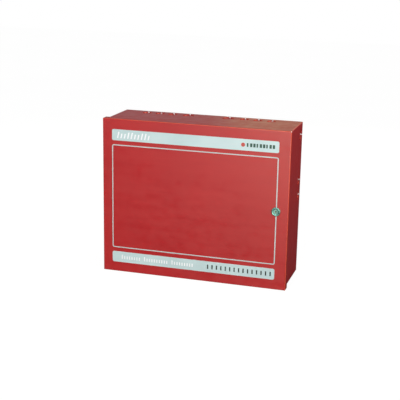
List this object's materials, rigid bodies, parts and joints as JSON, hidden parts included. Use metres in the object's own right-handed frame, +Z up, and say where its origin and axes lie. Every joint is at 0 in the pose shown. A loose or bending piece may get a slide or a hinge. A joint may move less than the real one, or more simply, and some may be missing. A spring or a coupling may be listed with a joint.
{
  "type": "fire alarm cabinet",
  "caption": "Red steel wall cabinet of a fire alarm system with a hinged pan door, cam lock, label strips, charger board and standby batteries.",
  "frame": {"origin": "middle of the back face, on the wall plane", "axes": "+X to the right seen from the front, +Y into the wall, +Z up; the door faces -Y"},
  "size_m": [0.4621, 0.1522, 0.382],
  "materials": {
    "red_paint": "textured red powder coat, semi-gloss",
    "zinc_steel": "zinc plated",
    "galvanised": "galvanised sheet",
    "label_film": "satin printed film",
    "line_ink": "printed line",
    "lock_chrome": "dull chrome",
    "black_rubber": "matt",
    "battery_case": "fine grain",
    "battery_lid": "fine grain",
    "board_mask": "solder mask",
    "brass": "machined",
    "block_plastic": "moulded",
    "relay_plastic": "moulded",
    "black_plastic": "moulded",
    "cap_white": "moulded",
    "core_iron": "laminated, varnished",
    "coil_tape": "polyester tape",
    "black_aluminium": "anodised",
    "sleeve_blue": "shrink sleeve",
    "fuse_glass": "clear",
    "tinned": "tinned",
    "black_paint": "satin black powder coat",
    "led_lens": "tinted lens",
    "wire_red": "PVC",
    "wire_black": "PVC",
    "wire_yellow": "PVC",
    "wire_earth": "green and yellow PVC"
  },
  "bodies": {
    "root": {"back_box": "red_paint", "hinge_body_leaf": "red_paint", "hinge_pin": "zinc_steel", "hinge_body_rivets": "red_paint", "door_bumpers": "black_rubber", "mounting_plate": "galvanised", "plate_studs": "zinc_steel", "plate_nuts": "zinc_steel", "charger_board": "board_mask", "board_standoffs": "brass", "board_screws": "zinc_steel", "terminal_blocks": "block_plastic", "terminal_screws": "zinc_steel", "transformer_core": "core_iron", "transformer_coil": "coil_tape", "transformer_frame": "galvanised", "transformer_screws": "zinc_steel", "transformer_leads": "wire_yellow", "heatsink": "black_aluminium", "power_transistors": "black_plastic", "capacitors": "sleeve_blue", "relays": "relay_plastic", "fuse_clips": "tinned", "fuse_tubes": "fuse_glass", "status_leds": "led_lens", "ic_chips": "black_plastic", "sounder": "black_plastic", "reset_switch": "black_plastic", "battery_left_case": "battery_case", "battery_left_lid": "battery_lid", "battery_right_case": "battery_case", "battery_right_lid": "battery_lid", "battery_terminals": "tinned", "battery_bolts": "zinc_steel", "battery_pads": "black_rubber", "battery_stop": "black_paint", "battery_stop_rivets": "zinc_steel", "positive_lead": "wire_red", "negative_lead": "wire_black", "link_lead": "wire_red", "lead_lugs": "tinned", "earth_stud": "brass", "earth_nut": "zinc_steel", "earth_lead": "wire_earth"},
    "door": {"door_panel": "red_paint", "hinge_door_leaf": "red_paint", "hinge_door_rivets": "red_paint", "top_label": "label_film", "bottom_label": "label_film", "outline_stripe": "line_ink", "lock_barrel": "lock_chrome", "lock_washer": "zinc_steel", "lock_nut": "zinc_steel", "door_stud": "brass", "door_nut": "zinc_steel", "door_lug": "tinned"},
    "lock_core": {"lock_plug": "lock_chrome", "lock_cam": "zinc_steel", "cam_screw": "zinc_steel"},
    "reset_key": {"reset_cap": "cap_white"}
  },
  "joints": [
    {"name": "door_hinge", "type": "hinge", "parent": "root", "child": "door", "pos_m": [-0.2295, -0.128, 0], "axis": [0, 0, -1], "range_deg": [0, 115], "deforming": ["earth_lead"]},
    {"name": "lock_turn", "type": "hinge", "parent": "door", "child": "lock_core", "pos_m": [0.2005, -0.15, 0], "axis": [0, -1, 0], "range_deg": [0, 90]},
    {"name": "reset_press", "type": "slide", "parent": "root", "child": "reset_key", "axis": [0, 1, 0], "range_m": [0, 0.002], "stiffness_N_per_m": 300, "springref_m": -0.001}
  ]
}
